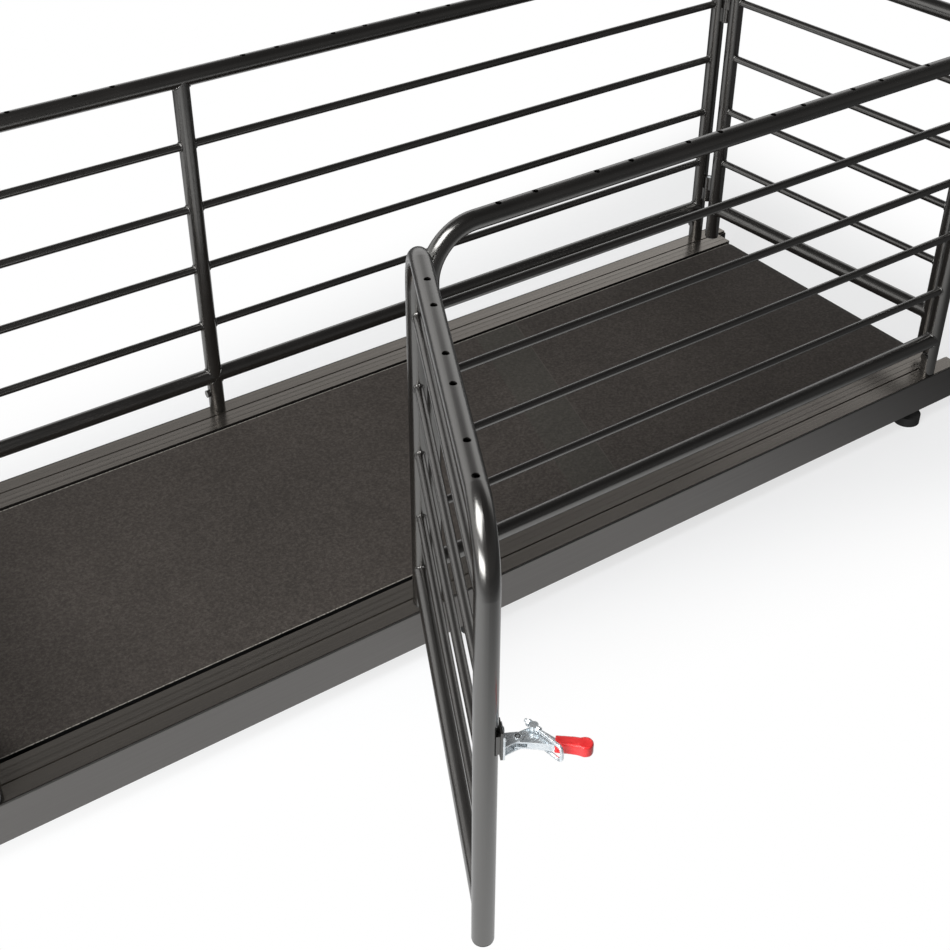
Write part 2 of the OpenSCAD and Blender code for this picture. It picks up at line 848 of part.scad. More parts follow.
// The lever: two plates joined by a back web, holes for the pivot and the trunnion
module latch_lever(len) {
    ta = lever_a - trunnion_a;
    tx = trunnion_r * cos(ta);
    ty = trunnion_r * sin(ta);
    neck = lever_len - grip_len - slip_gap;
    lever_place(len) difference() {
        union() {
            for (s = [-1, 1])
                translate([0, 0, s * lever_z]) linear_extrude(height = lever_t, center = true) {
                    circle(r = 6);
                    translate([tx, ty]) circle(r = 5);
                    polygon([[0, -6], [neck, -4], [neck, 4], [tx + 4, ty + 3], [tx - 3.6, ty + 3.5],
                        [-4.6, 3.8]]);
                }
            block([10, -5.2, -lever_half], [neck, -3.2, lever_half]);
            block([neck - 1, -tang_half, -lever_half], [tang_end, tang_half, lever_half]);
        }
        rod_z(0, 0, -10, 10, rivet_d + 2 * run_gap);
        rod_z(tx, ty, -10, 10, trunnion_d + 2 * run_gap);
    }
}

// The moulded grip over the end of the lever, with its waist and round tip
module latch_grip(len) {
    lever_place(len) difference() {
        union() {
            rod_z(lever_len - 8, -0.5, -6.8, 6.8, 16);
            linear_extrude(height = 13.6, center = true)
                polygon([[lever_len - grip_len, -6], [lever_len - grip_len, 6], [lever_len - 20, 6.5],
                    [lever_len - 13, 5.9], [lever_len - 9, 6.6], [lever_len - 9, -7.6],
                    [lever_len - 16, -6.6], [lever_len - 24, -6]]);
        }
        block([lever_len - grip_len - 1, -tang_half - tang_gap, -lever_half - tang_gap],
            [tang_end + tang_gap, tang_half + tang_gap, lever_half + tang_gap]);
    }
}

// The bow: a bent rod with two threaded legs, the trunnion it passes through and four nuts
module latch_bow(len) {
    latch_place(len) translate([trunnion_x, trunnion_y, 0]) rotate([0, 0, 90 - ubolt_a]) {
        for (s = [-1, 1]) rod_x(-ubolt_tail, ubolt_len - 5, 0, s * ubolt_half, ubolt_d);
        for (s = [0, 180])
            translate([ubolt_len - 5, 0, 0]) rotate([s, 0, 0]) translate([0, 0, ubolt_half - 5])
                rotate([90, 0, 0]) rotate_extrude(angle = 90) translate([5, 0]) circle(d = ubolt_d);
        rod_z(ubolt_len, 0, 5 - ubolt_half, ubolt_half - 5, ubolt_d);
        difference() {
            union() {
                rod_z(0, 0, -6.4, 6.4, trunnion_d);
                for (s = [-1, 1]) translate([0, 0, s * 9.2]) cylinder(d = 9, h = 5.6, center = true);
            }
            for (s = [-1, 1]) rod_x(-10, 10, 0, s * ubolt_half, ubolt_d + 2 * weld_gap);
        }
        for (s = [-1, 1])
            for (x = [-8.2, 4.8])
                difference() {
                    translate([x, 0, s * ubolt_half]) rotate([0, 90, 0])
                        cylinder(d = 7.6, h = 3.2, $fn = 6);
                    rod_x(x - 1, x + 5, 0, s * ubolt_half, ubolt_d + 2 * weld_gap);
                }
    }
}

// The keeper on the post that the gate latches to: a saddle, an arm and a lip
module keeper(len) {
    lip_x = bow_x - ubolt_d / 2 - 0.5;
    arm_y = closed_y - ubolt_d / 2 - 0.8;
    latch_place(len) difference() {
        union() {
            block([post_pitch - 10, 6, -10], [post_pitch + 10, arm_y, 10]);
            block([lip_x - 3.2, tube_r + 0.4, -5.5], [post_pitch, arm_y, 5.5]);
            block([lip_x - 3.2, tube_r + 0.4, -5.5], [lip_x, closed_y + 6, 5.5]);
        }
        rod_z(post_pitch, 0, -12, 12, 2 * saddle_r);
    }
}

module latch_keepers() {
    color("Silver") {
        side_gate_place(0) keeper(gate_len);
        end_gate_place(0) keeper(end_len);
    }
}

module side_latch_bracket() {
    color("Black") side_gate_place(gate_open) latch_bracket(gate_len);
}

module side_latch_base() {
    color("Silver") side_gate_place(gate_open) latch_base(gate_len);
}

module side_latch_lever() {
    color("Silver") side_gate_place(gate_open) latch_lever(gate_len);
}

module side_latch_grip() {
    color("Red") side_gate_place(gate_open) latch_grip(gate_len);
}

module side_latch_bow() {
    color("Silver") side_gate_place(gate_open) latch_bow(gate_len);
}

module end_latch_bracket() {
    color("Black") end_gate_place(end_open) latch_bracket(end_len);
}

module end_latch_base() {
    color("Silver") end_gate_place(end_open) latch_base(end_len);
}

module end_latch_lever() {
    color("Silver") end_gate_place(end_open) latch_lever(end_len);
}

module end_latch_grip() {
    color("Red") end_gate_place(end_open) latch_grip(end_len);
}

module end_latch_bow() {
    color("Silver") end_gate_place(end_open) latch_bow(end_len);
}

side_rail_near();
side_rail_back();
side_skirts();
frame_beams();
cross_members();
rail_end_caps();
deck_board();
running_belt();
drive_roller();
idler_roller();
roller_axles();
roller_bearings();
tension_bolts();
roller_pulley();
drive_belt();
motor_pulley();
motor_body();
motor_tray();
controller_box();
motor_hood();
control_panel();
display_window();
key_start();
key_plus();
key_minus();
power_inlet();
power_rocker();
foot_pads();
foot_stems();
leg_sockets();
leg_bolts();
near_fence_frame();
near_fence_bars();
back_fence_frame();
back_fence_post();
back_fence_bars();
front_fence_frame();
front_fence_bars();
corner_blocks();
side_gate_frame();
side_gate_bars();
side_gate_plugs();
end_gate_frame();
end_gate_bars();
end_gate_plugs();
hinge_sockets();
hinge_pins();
side_gate_knuckles();
end_gate_knuckles();
latch_keepers();
side_latch_bracket();
side_latch_base();
side_latch_lever();
side_latch_grip();
side_latch_bow();
end_latch_bracket();
end_latch_base();
end_latch_lever();
end_latch_grip();
end_latch_bow();
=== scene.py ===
import json
import math

import bmesh
import bpy
from mathutils import Matrix, Vector

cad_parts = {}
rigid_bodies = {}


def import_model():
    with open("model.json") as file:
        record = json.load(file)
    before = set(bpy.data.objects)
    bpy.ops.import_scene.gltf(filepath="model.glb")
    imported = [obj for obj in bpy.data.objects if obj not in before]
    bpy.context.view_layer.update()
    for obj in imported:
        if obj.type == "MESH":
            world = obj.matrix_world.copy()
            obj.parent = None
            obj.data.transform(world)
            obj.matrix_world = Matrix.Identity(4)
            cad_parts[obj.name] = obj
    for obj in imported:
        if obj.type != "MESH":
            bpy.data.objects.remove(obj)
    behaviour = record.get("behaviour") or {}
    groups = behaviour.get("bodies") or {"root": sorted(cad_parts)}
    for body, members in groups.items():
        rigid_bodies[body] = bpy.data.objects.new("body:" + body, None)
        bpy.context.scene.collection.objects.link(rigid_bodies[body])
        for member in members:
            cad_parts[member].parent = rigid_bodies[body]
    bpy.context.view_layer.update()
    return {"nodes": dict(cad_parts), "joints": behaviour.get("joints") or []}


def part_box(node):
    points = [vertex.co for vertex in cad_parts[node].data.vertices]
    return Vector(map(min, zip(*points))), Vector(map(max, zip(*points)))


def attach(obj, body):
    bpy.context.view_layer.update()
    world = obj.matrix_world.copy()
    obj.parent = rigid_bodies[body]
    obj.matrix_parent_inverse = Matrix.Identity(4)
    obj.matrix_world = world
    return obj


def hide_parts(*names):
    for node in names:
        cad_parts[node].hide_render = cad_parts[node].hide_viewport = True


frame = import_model()

# Camera
# The view is from above, out in front of the near side by the motor end, and looks down
# across the deck. Its place, heading and tilt follow from the straight lines of the tubes
# and rails.
PICTURE = 950
HALF_PIXEL = 0.5 / PICTURE
SENSOR_MM = 36
FOCAL_PX = 1529.19
EYE = Vector((-0.9463, -1.6183, 1.4916))
HEADING = math.radians(35.4858)
TILT = math.radians(36.8315)
ROLL = math.radians(0.3782)
forward = Vector((
    math.sin(HEADING) * math.cos(TILT),
    math.cos(HEADING) * math.cos(TILT),
    -math.sin(TILT),
))
level = Vector((math.cos(HEADING), -math.sin(HEADING), 0))
upright = level.cross(forward)
right = level * math.cos(ROLL) + upright * math.sin(ROLL)
up = upright * math.cos(ROLL) - level * math.sin(ROLL)
lens = bpy.data.cameras.new("camera")
lens.sensor_width = SENSOR_MM
lens.lens = FOCAL_PX / PICTURE * SENSOR_MM
lens.clip_start = 0.05
# measured places are pixel middles, so the picture moves by half a pixel
lens.shift_x = -HALF_PIXEL
lens.shift_y = HALF_PIXEL
camera = bpy.data.objects.new("camera", lens)
camera.matrix_world = Matrix((right, up, -forward)).transposed().to_4x4()
camera.location = EYE
scene = bpy.context.scene
scene.collection.objects.link(camera)
scene.camera = camera
scene.view_settings.view_transform = "Standard"


# Studio
# White paper on the floor and up the wall behind, in a dim room, with one soft box at
# the left and one above. The camera sees plain white, and the floor keeps a faint shadow.
def linear(hex_code):
    """An sRGB hex colour as linear RGBA."""
    parts = [int(hex_code[i:i + 2], 16) / 255 for i in (1, 3, 5)]
    return [c / 12.92 if c <= 0.04045 else ((c + 0.055) / 1.055) ** 2.4 for c in parts] + [1]


def add(tree, kind, settings, inputs):
    """Adds one node: settings are its properties, inputs its sockets by name or number."""
    node = tree.nodes.new(kind)
    for key, value in settings.items():
        setattr(node, key, value)
    for key, value in inputs.items():
        if isinstance(value, bpy.types.NodeSocket):
            tree.links.new(value, node.inputs[key])
        else:
            node.inputs[key].default_value = value
    return node


def steps(ramp_node, stops):
    """Sets a colour ramp to (place, hex colour or grey level) stops and gives its colour."""
    ramp = ramp_node.color_ramp
    while len(ramp.elements) < len(stops):
        ramp.elements.new(1)
    for element, (place, tone) in zip(ramp.elements, stops):
        element.position = place
        element.color = linear(tone) if isinstance(tone, str) else (tone, tone, tone, 1)
    return ramp_node.outputs["Color"]


def blank(name):
    """A new material with an empty node tree."""
    material = bpy.data.materials.new(name)
    material.use_nodes = True
    material.node_tree.nodes.clear()
    return material, material.node_tree


# brightness by the sine of the height angle: the lit backdrop, and the dim room before it
BACKDROP_STEPS = [
    (0.0, 1.0), (0.46, 1.0), (0.51, 0.50), (0.56, 0.20), (0.66, 0.14), (0.78, 0.08), (1.0, 0.04),
]
ROOM_STEPS = [(0.0, 0.14), (0.45, 0.11), (0.7, 0.05), (1.0, 0.04)]
# the room gives way to the backdrop between these sines of the angle to the back
ROOM_END = -0.2
BACKDROP_START = 0.3
world = bpy.data.worlds.new("studio")
scene.world = world
world.use_nodes = True
sky = world.node_tree
sky.nodes.clear()
ray = add(sky, "ShaderNodeTexCoord", {}, {})
heading = add(sky, "ShaderNodeSeparateXYZ", {}, {0: ray.outputs["Generated"]})
backdrop = steps(add(sky, "ShaderNodeValToRGB", {}, {0: heading.outputs["Z"]}), BACKDROP_STEPS)
room = steps(add(sky, "ShaderNodeValToRGB", {}, {0: heading.outputs["Z"]}), ROOM_STEPS)
behind = add(sky, "ShaderNodeMapRange", {"interpolation_type": "SMOOTHSTEP"},
             {"Value": heading.outputs["Y"], 1: ROOM_END, 2: BACKDROP_START})
walls = add(sky, "ShaderNodeMix", {"data_type": "RGBA"}, {0: behind.outputs[0], 6: room, 7: backdrop})
lit = add(sky, "ShaderNodeBackground", {}, {"Color": walls.outputs[2], "Strength": 1.0})
blank_wall = add(sky, "ShaderNodeBackground", {}, {"Color": linear("#ffffff"), "Strength": 1.0})
path = add(sky, "ShaderNodeLightPath", {}, {})
shown = add(sky, "ShaderNodeMixShader", {},
            {0: path.outputs["Is Camera Ray"], 1: lit.outputs[0], 2: blank_wall.outputs[0]})
add(sky, "ShaderNodeOutputWorld", {}, {"Surface": shown.outputs[0]})

# soft boxes: place, aim, width and height in metres, watts
SOFT_BOXES = {
    "left_box": ((-2.70, -1.60, 1.00), (0.0, -0.3, 0.3), 2.0, 0.9, 66),
    "top_box": ((-1.30, -0.50, 2.30), (0.0, 0.0, 0.0), 1.4, 1.4, 60),
}
for name, (place, aim, width, tall, watts) in SOFT_BOXES.items():
    light = bpy.data.lights.new(name, "AREA")
    light.shape = "RECTANGLE"
    light.size = width
    light.size_y = tall
    light.energy = watts
    lamp = bpy.data.objects.new(name, light)
    lamp.location = place
    lamp.rotation_mode = "QUATERNION"
    lamp.rotation_quaternion = (Vector(aim) - Vector(place)).to_track_quat("-Z", "Y")
    scene.collection.objects.link(lamp)

# much of the white is the paper's own, so that the shadow on it stays faint; the shadow's reach
# is painted: the own white is lowered in a box moved to the back and grown towards +x, away
# from the lamps, so the lamp-lit floor shows there as a painted shadow; under the deck it is
# dark, and gloss sees the white fade to the dim room; places and lengths are in metres
FLOOR_HALF = 9.0
PAPER_MIDDLE = (-0.5, 0.0, 0.0)
PAPER_FULL = 0.75
PAPER_END = 1.75
FAR_WHITE = 0.1
DECK_MIDDLE = (0.0, 0.0, 0.0)
DECK_HALF = (1.0, 0.31, 0.0)
DARK_UNDER = (-0.075, -0.035)
SHADOW_MIDDLE = (0.0, 0.09, 0.0)
SHADOW_REACH = 0.30
SHADOW_GROWTH = 0.16
OWN_WHITE = 0.70
paper, tree = blank("white_paper_floor")
at = add(tree, "ShaderNodeTexCoord", {}, {}).outputs["Object"]
path = add(tree, "ShaderNodeLightPath", {}, {})
by_camera = path.outputs["Is Camera Ray"]
by_gloss = add(tree, "ShaderNodeMath", {"operation": "MAXIMUM"},
               {0: path.outputs["Is Glossy Ray"], 1: path.outputs["Is Transmission Ray"]})
far = add(tree, "ShaderNodeVectorMath", {"operation": "DISTANCE"}, {0: at, 1: PAPER_MIDDLE})
near = add(tree, "ShaderNodeMapRange", {"interpolation_type": "SMOOTHSTEP"},
           {"Value": far.outputs["Value"], 1: PAPER_FULL, 2: PAPER_END, 3: 1.0, 4: FAR_WHITE})
# how far a point lies outside the deck's outline, and outside that outline moved to the painted shadow
clear = []
for middle in (DECK_MIDDLE, SHADOW_MIDDLE):
    moved = add(tree, "ShaderNodeVectorMath", {"operation": "SUBTRACT"}, {0: at, 1: middle})
    outwards = add(tree, "ShaderNodeVectorMath", {"operation": "ABSOLUTE"}, {0: moved.outputs[0]})
    beyond = add(tree, "ShaderNodeVectorMath", {"operation": "SUBTRACT"},
                 {0: outwards.outputs[0], 1: DECK_HALF})
    sides = add(tree, "ShaderNodeSeparateXYZ", {}, {0: beyond.outputs[0]})
    clear.append(add(tree, "ShaderNodeMath", {"operation": "MAXIMUM"},
                     {0: sides.outputs["X"], 1: sides.outputs["Y"]}).outputs[0])
off_deck, off_shadow = clear
along = add(tree, "ShaderNodeSeparateXYZ", {}, {0: at})
# painted shadow: its reach grows along x, so it lies wider towards +x
shortened = add(tree, "ShaderNodeMath", {"operation": "MULTIPLY_ADD"},
                {0: along.outputs["X"], 1: -SHADOW_GROWTH, 2: off_shadow})
unshaded = add(tree, "ShaderNodeMapRange", {"interpolation_type": "SMOOTHSTEP"},
               {"Value": shortened.outputs[0], 1: 0.0, 2: SHADOW_REACH, 3: OWN_WHITE, 4: 1.0})
camera_white = add(tree, "ShaderNodeMath", {"operation": "MULTIPLY"},
                   {0: by_camera, 1: unshaded.outputs[0]})
dimmed = add(tree, "ShaderNodeMath", {"operation": "MULTIPLY"},
             {0: by_gloss.outputs[0], 1: near.outputs[0]})
gloss_white = add(tree, "ShaderNodeMath", {"operation": "MULTIPLY"},
                  {0: dimmed.outputs[0], 1: OWN_WHITE})
either_white = add(tree, "ShaderNodeMath", {"operation": "MAXIMUM"},
                   {0: camera_white.outputs[0], 1: gloss_white.outputs[0]})
outside = add(tree, "ShaderNodeMapRange", {"interpolation_type": "SMOOTHSTEP"},
              {"Value": off_deck, 1: DARK_UNDER[0], 2: DARK_UNDER[1]})
own = add(tree, "ShaderNodeMath", {"operation": "MULTIPLY"},
          {0: either_white.outputs[0], 1: outside.outputs[0]})
pale = add(tree, "ShaderNodeMath", {"operation": "MAXIMUM"}, {0: by_camera, 1: near.outputs[0]})
paper_tone = add(tree, "ShaderNodeMix", {"data_type": "RGBA"},
                 {0: pale.outputs[0], 6: linear("#202020"), 7: linear("#f2f5f8")})
matt = add(tree, "ShaderNodeBsdfDiffuse", {}, {"Color": paper_tone.outputs[2]})
white = add(tree, "ShaderNodeEmission", {}, {"Color": linear("#ffffff"), "Strength": 1.0})
mixed = add(tree, "ShaderNodeMixShader", {},
            {0: own.outputs[0], 1: matt.outputs[0], 2: white.outputs[0]})
add(tree, "ShaderNodeOutputMaterial", {}, {"Surface": mixed.outputs[0]})
floor_mesh = bpy.data.meshes.new("floor")
floor_mesh.from_pydata(
    [(x, y, 0) for x, y in ((-1, -1), (1, -1), (1, 1), (-1, 1))], [], [(0, 1, 2, 3)])
floor_mesh.transform(Matrix.Scale(FLOOR_HALF, 4))
floor_mesh.materials.append(paper)
floor = bpy.data.objects.new("floor", floor_mesh)
scene.collection.objects.link(floor)

# Base frame
# Two steel box beams with cross members, and the tray under the motor, all welded.
# They are sprayed with matt black paint that shows a little mottle.
MM = 0.001


def dress(material, *names):
    """Gives CAD nodes their finish."""
    for name in names:
        slots = frame["nodes"][name].data.materials
        slots.clear()
        slots.append(material)


# Sprayed paint: matt, with a fine dry grain
paint, tree = blank("black_sprayed_paint")
at = add(tree, "ShaderNodeTexCoord", {}, {}).outputs["Object"]
mottle = add(tree, "ShaderNodeTexNoise", {}, {"Vector": at, "Scale": 1 / (60 * MM), "Detail": 4})
tint = steps(add(tree, "ShaderNodeValToRGB", {}, {0: mottle.outputs[0]}),
             [(0.3, "#1c1c1c"), (0.7, "#272727")])
grit = add(tree, "ShaderNodeTexNoise", {}, {"Vector": at, "Scale": 1 / (1.2 * MM), "Detail": 2})
relief = add(tree, "ShaderNodeBump", {},
             {"Strength": 0.3, "Distance": 0.1 * MM, "Height": grit.outputs[0]})
surface = add(tree, "ShaderNodeBsdfPrincipled", {},
              {"Base Color": tint, "Roughness": 0.62, "IOR": 1.5, "Normal": relief.outputs[0]})
add(tree, "ShaderNodeOutputMaterial", {}, {"Surface": surface.outputs[0]})
dress(paint, "frame_beams", "cross_members", "motor_tray", "leg_sockets")

# Feet
# Moulded rubber pads on threaded stems with lock nuts, screwed into the beams.
# The stems and nuts are bright zinc plate, as are the tension bolts, hinge pins and keepers.
# Moulded rubber: dull black, with a little dust
rubber, tree = blank("moulded_rubber")
at = add(tree, "ShaderNodeTexCoord", {}, {}).outputs["Object"]
dust = add(tree, "ShaderNodeTexNoise", {}, {"Vector": at, "Scale": 1 / (9 * MM), "Detail": 5})
tint = steps(add(tree, "ShaderNodeValToRGB", {}, {0: dust.outputs[0]}),
             [(0.35, "#161616"), (0.75, "#262524")])
surface = add(tree, "ShaderNodeBsdfPrincipled", {},
              {"Base Color": tint, "Roughness": 0.78, "IOR": 1.52})
add(tree, "ShaderNodeOutputMaterial", {}, {"Surface": surface.outputs[0]})
dress(rubber, "foot_pads")

# Zinc plate: bright bluish metal, clouded by the plating bath
zinc, tree = blank("bright_zinc_plate")
at = add(tree, "ShaderNodeTexCoord", {}, {}).outputs["Object"]
cloud = add(tree, "ShaderNodeTexNoise", {}, {"Vector": at, "Scale": 1 / (5 * MM), "Detail": 4})
tint = steps(add(tree, "ShaderNodeValToRGB", {}, {0: cloud.outputs[0]}),
             [(0.3, "#d3dbe0"), (0.7, "#f1f5f7")])
haze = add(tree, "ShaderNodeMapRange", {}, {"Value": cloud.outputs[0], 3: 0.20, 4: 0.34})
surface = add(tree, "ShaderNodeBsdfPrincipled", {},
              {"Base Color": tint, "Metallic": 0.75, "Roughness": haze.outputs[0]})
add(tree, "ShaderNodeOutputMaterial", {}, {"Surface": surface.outputs[0]})
dress(zinc, "foot_stems", "tension_bolts", "hinge_pins", "latch_keepers")

# Belt drive
# Ground steel rollers on fixed axles with ball bearings, a pulley on the drive roller,
# a ribbed belt, and a motor with its flywheel on the tray below the hood.
# Ground steel: bright, with fine lines round the axis
steel, tree = blank("ground_steel")
at = add(tree, "ShaderNodeTexCoord", {}, {}).outputs["Object"]
stretch = add(tree, "ShaderNodeMapping", {},
              {"Vector": at, "Scale": (1 / (40 * MM), 1 / (1.5 * MM), 1 / (40 * MM))})
lines = add(tree, "ShaderNodeTexNoise", {}, {"Vector": stretch.outputs[0], "Scale": 1.0, "Detail": 3})
tint = steps(add(tree, "ShaderNodeValToRGB", {}, {0: lines.outputs[0]}),
             [(0.3, "#9a9a99"), (0.7, "#c3c3c2")])
haze = add(tree, "ShaderNodeMapRange", {}, {"Value": lines.outputs[0], 3: 0.25, 4: 0.42})
surface = add(tree, "ShaderNodeBsdfPrincipled", {},
              {"Base Color": tint, "Metallic": 1.0, "Roughness": haze.outputs[0]})
add(tree, "ShaderNodeOutputMaterial", {}, {"Surface": surface.outputs[0]})
dress(steel, "drive_roller", "idler_roller", "roller_axles", "roller_bearings",
      "roller_pulley", "motor_pulley")

# Motor enamel: semi-gloss dark grey, with a slight orange peel
enamel, tree = blank("motor_enamel")
at = add(tree, "ShaderNodeTexCoord", {}, {}).outputs["Object"]
peel = add(tree, "ShaderNodeTexNoise", {}, {"Vector": at, "Scale": 1 / (2.5 * MM), "Detail": 2})
relief = add(tree, "ShaderNodeBump", {},
             {"Strength": 0.2, "Distance": 0.1 * MM, "Height": peel.outputs[0]})
tint = steps(add(tree, "ShaderNodeValToRGB", {}, {0: peel.outputs[0]}),
             [(0.3, "#2b2c2d"), (0.7, "#343536")])
surface = add(tree, "ShaderNodeBsdfPrincipled", {},
              {"Base Color": tint, "Roughness": 0.38, "IOR": 1.5, "Normal": relief.outputs[0]})
add(tree, "ShaderNodeOutputMaterial", {}, {"Surface": surface.outputs[0]})
dress(enamel, "motor_body")

# Extruded aluminium of the heat sink: left plain, pale grey with faint lines from the die
sink, tree = blank("plain_aluminium")
at = add(tree, "ShaderNodeTexCoord", {}, {}).outputs["Object"]
stretch = add(tree, "ShaderNodeMapping", {},
              {"Vector": at, "Scale": (1 / (1.5 * MM), 1 / (60 * MM), 1 / (1.5 * MM))})
lines = add(tree, "ShaderNodeTexNoise", {}, {"Vector": stretch.outputs[0], "Scale": 1.0, "Detail": 3})
tint = steps(add(tree, "ShaderNodeValToRGB", {}, {0: lines.outputs[0]}),
             [(0.3, "#a9aaab"), (0.7, "#cfd0d1")])
surface = add(tree, "ShaderNodeBsdfPrincipled", {},
              {"Base Color": tint, "Metallic": 1.0, "Roughness": 0.42})
add(tree, "ShaderNodeOutputMaterial", {}, {"Surface": surface.outputs[0]})
dress(sink, "controller_box")

# Ribbed belt: dull black rubber, with ribs along its length
FULL_TURN = 2 * math.pi
RIB_PITCH = 3.5 * MM
ribbed, tree = blank("ribbed_belt_rubber")
at = add(tree, "ShaderNodeTexCoord", {}, {}).outputs["Object"]
across = add(tree, "ShaderNodeSeparateXYZ", {}, {0: at})
phase = add(tree, "ShaderNodeMath", {"operation": "MULTIPLY"},
            {0: across.outputs["Y"], 1: FULL_TURN / RIB_PITCH})
ribs = add(tree, "ShaderNodeMath", {"operation": "SINE"}, {0: phase.outputs[0]})
relief = add(tree, "ShaderNodeBump", {},
             {"Strength": 0.6, "Distance": 0.6 * MM, "Height": ribs.outputs[0]})
surface = add(tree, "ShaderNodeBsdfPrincipled", {},
              {"Base Color": linear("#141414"), "Roughness": 0.7, "IOR": 1.52,
               "Normal": relief.outputs[0]})
add(tree, "ShaderNodeOutputMaterial", {}, {"Surface": surface.outputs[0]})
dress(ribbed, "drive_belt")

# Deck board
# A board of wood fibre on the cross members, under the upper run of the belt.
# Its faces carry a black phenolic film, rubbed with wax, so it is dull and near black.
board, tree = blank("film_faced_board")
at = add(tree, "ShaderNodeTexCoord", {}, {}).outputs["Object"]
fibre = add(tree, "ShaderNodeTexNoise", {}, {"Vector": at, "Scale": 1 / (4 * MM), "Detail": 6})
tint = steps(add(tree, "ShaderNodeValToRGB", {}, {0: fibre.outputs[0]}),
             [(0.3, "#080808"), (0.7, "#0e0d0d")])
surface = add(tree, "ShaderNodeBsdfPrincipled", {},
              {"Base Color": tint, "Roughness": 0.8, "IOR": 1.45, "Specular IOR Level": 0.15})
add(tree, "ShaderNodeOutputMaterial", {}, {"Surface": surface.outputs[0]})
dress(board, "deck_board")

# Running belt
# Two plies of fabric with a calendered top of dark PVC, welded to a loop at a slanted splice.
# The top has a fine matt grain, and pale threads show along the cut edges.
BELT_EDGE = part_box("running_belt")[1].y
WEAR_SHOWS = 0.35
EDGE_BAND = 1.6 * MM
SHADED_CUT_BAND = 0.05 * MM
SPLICE_X = 345 * MM
SPLICE_HALF = 42 * MM
SPLICE_LEAN = 0.30
SPLICE_SHOWS = 0.30
PLY_LINE_HALF = 0.9 * MM
PLY_LINE_SHOWS = 0.30
pvc, tree = blank("calendered_pvc_belt")
at = add(tree, "ShaderNodeTexCoord", {}, {}).outputs["Object"]
spot = add(tree, "ShaderNodeSeparateXYZ", {}, {0: at})
# the grain is about 0.6 mm on such a belt, drawn from 4 mm down so that it shows
grain = add(tree, "ShaderNodeTexNoise", {},
            {"Vector": at, "Scale": 1 / (4.2 * MM), "Detail": 4, "Roughness": 0.75})
wear = add(tree, "ShaderNodeTexNoise", {}, {"Vector": at, "Scale": 1 / (180 * MM), "Detail": 4})
speckle = steps(add(tree, "ShaderNodeValToRGB", {}, {0: grain.outputs[0]}),
                [(0.34, "#2d2926"), (0.50, "#3a3531"), (0.66, "#48433f")])
worn = add(tree, "ShaderNodeMix", {"data_type": "RGBA", "blend_type": "SOFT_LIGHT"},
           {0: WEAR_SHOWS, 6: speckle, 7: wear.outputs[0]})
# distance from the middle of the splice, measured along the belt
leaning = add(tree, "ShaderNodeMath", {"operation": "MULTIPLY_ADD"},
              {0: spot.outputs["Y"], 1: -SPLICE_LEAN, 2: spot.outputs["X"]})
off = add(tree, "ShaderNodeMath", {"operation": "SUBTRACT"}, {0: leaning.outputs[0], 1: SPLICE_X})
apart = add(tree, "ShaderNodeMath", {"operation": "ABSOLUTE"}, {0: off.outputs[0]})
inside = add(tree, "ShaderNodeMath", {"operation": "LESS_THAN"}, {0: apart.outputs[0], 1: SPLICE_HALF})
in_splice = add(tree, "ShaderNodeMath", {"operation": "MULTIPLY"}, {0: inside.outputs[0], 1: SPLICE_SHOWS})
pressed = add(tree, "ShaderNodeMix", {"data_type": "RGBA"},
              {0: in_splice.outputs[0], 6: worn.outputs[2], 7: linear("#3f413b")})
# the end of the upper ply shows as a fine pale line
ply = add(tree, "ShaderNodeMath", {"operation": "COMPARE"},
          {0: off.outputs[0], 1: SPLICE_HALF, 2: PLY_LINE_HALF})
faint = add(tree, "ShaderNodeMath", {"operation": "MULTIPLY"}, {0: ply.outputs[0], 1: PLY_LINE_SHOWS})
lapped = add(tree, "ShaderNodeMix", {"data_type": "RGBA"},
             {0: faint.outputs[0], 6: pressed.outputs[2], 7: linear("#5b5651")})
# along the cut edge loose threads show as pale dots, and the cut face is painted near black, painted shade
# of the gap to the rail
side = add(tree, "ShaderNodeMath", {"operation": "ABSOLUTE"}, {0: spot.outputs["Y"]})
rim = add(tree, "ShaderNodeMath", {"operation": "GREATER_THAN"},
          {0: side.outputs[0], 1: BELT_EDGE - EDGE_BAND})
dots = add(tree, "ShaderNodeTexNoise", {}, {"Vector": at, "Scale": 1 / (3.0 * MM), "Detail": 1})
threads = add(tree, "ShaderNodeMapRange", {}, {"Value": dots.outputs[0], 1: 0.30, 2: 0.60})
loose = add(tree, "ShaderNodeMath", {"operation": "MULTIPLY"}, {0: rim.outputs[0], 1: threads.outputs[0]})
frayed = add(tree, "ShaderNodeMix", {"data_type": "RGBA"},
             {0: loose.outputs[0], 6: lapped.outputs[2], 7: linear("#96928b")})
# painted shade: the cut face next to the rail is coloured near black
cut_face_shade = add(tree, "ShaderNodeMath", {"operation": "GREATER_THAN"},
          {0: side.outputs[0], 1: BELT_EDGE - SHADED_CUT_BAND})
belt_colour_and_cut_shade = add(tree, "ShaderNodeMix", {"data_type": "RGBA"},
             {0: cut_face_shade.outputs[0], 6: frayed.outputs[2], 7: linear("#0b0a0a")})
relief = add(tree, "ShaderNodeBump", {},
             {"Strength": 0.5, "Distance": 0.3 * MM, "Height": grain.outputs[0]})
surface = add(tree, "ShaderNodeBsdfPrincipled", {},
              {"Base Color": belt_colour_and_cut_shade.outputs[2], "Roughness": 0.75, "IOR": 1.45,
               "Specular IOR Level": 0.3, "Normal": relief.outputs[0]})
add(tree, "ShaderNodeOutputMaterial", {}, {"Surface": surface.outputs[0]})
dress(pvc, "running_belt")

# Side rails
# Extruded aluminium tops with one slot and fine grooves along them, anodised black.
# The die leaves faint lines along the rail, and the satin face mirrors the posts.
anodised, tree = blank("black_anodised_aluminium")
at = add(tree, "ShaderNodeTexCoord", {}, {}).outputs["Object"]
